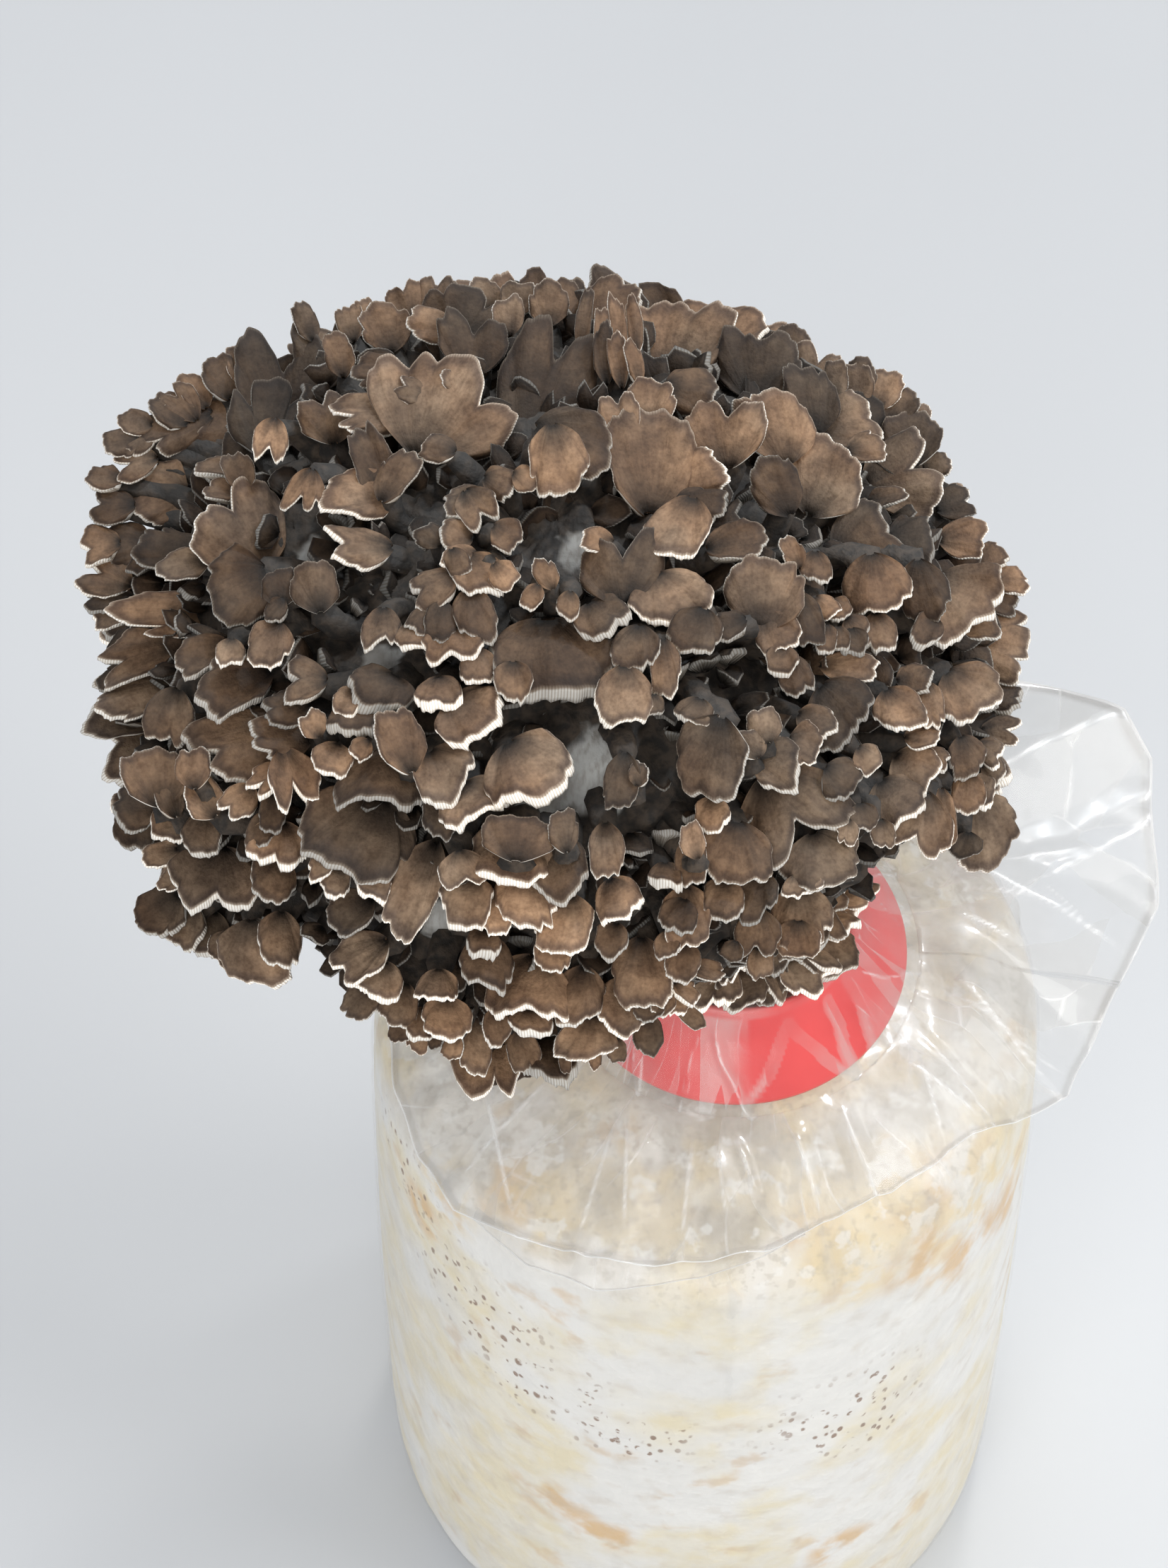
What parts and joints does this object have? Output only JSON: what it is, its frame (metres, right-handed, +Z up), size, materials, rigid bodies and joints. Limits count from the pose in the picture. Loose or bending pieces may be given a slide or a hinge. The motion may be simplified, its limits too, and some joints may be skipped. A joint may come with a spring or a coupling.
{
  "type": "mushroom grow kit",
  "caption": "Clear bag of white colonised substrate with a red neck collar, a loose film skirt and a frilly brown maitake cluster growing out of the neck.",
  "frame": {"origin": "centre of the bag's flat underside", "axes": "+Z up, from the bag's underside to the mushroom's crown; -Y is the front, the side the picture shows lowest"},
  "size_m": [0.2079, 0.1789, 0.3434],
  "materials": {
    "block": "damp matte mycelium over sawdust",
    "film": "clear glossy film",
    "collar": "satin",
    "stem": "matte",
    "cap": "matte"
  },
  "bodies": {
    "root": {"substrate_block": "block", "grow_bag": "film", "neck_collar": "collar", "mushroom_stem": "stem", "branch_crown": "cap", "branch_back": "cap", "branch_back_right": "cap", "branch_right": "cap", "branch_front_right": "cap", "branch_front_low_right": "cap", "branch_front": "cap", "branch_front_left": "cap", "branch_left": "cap", "branch_back_left": "cap"}
  },
  "joints": []
}
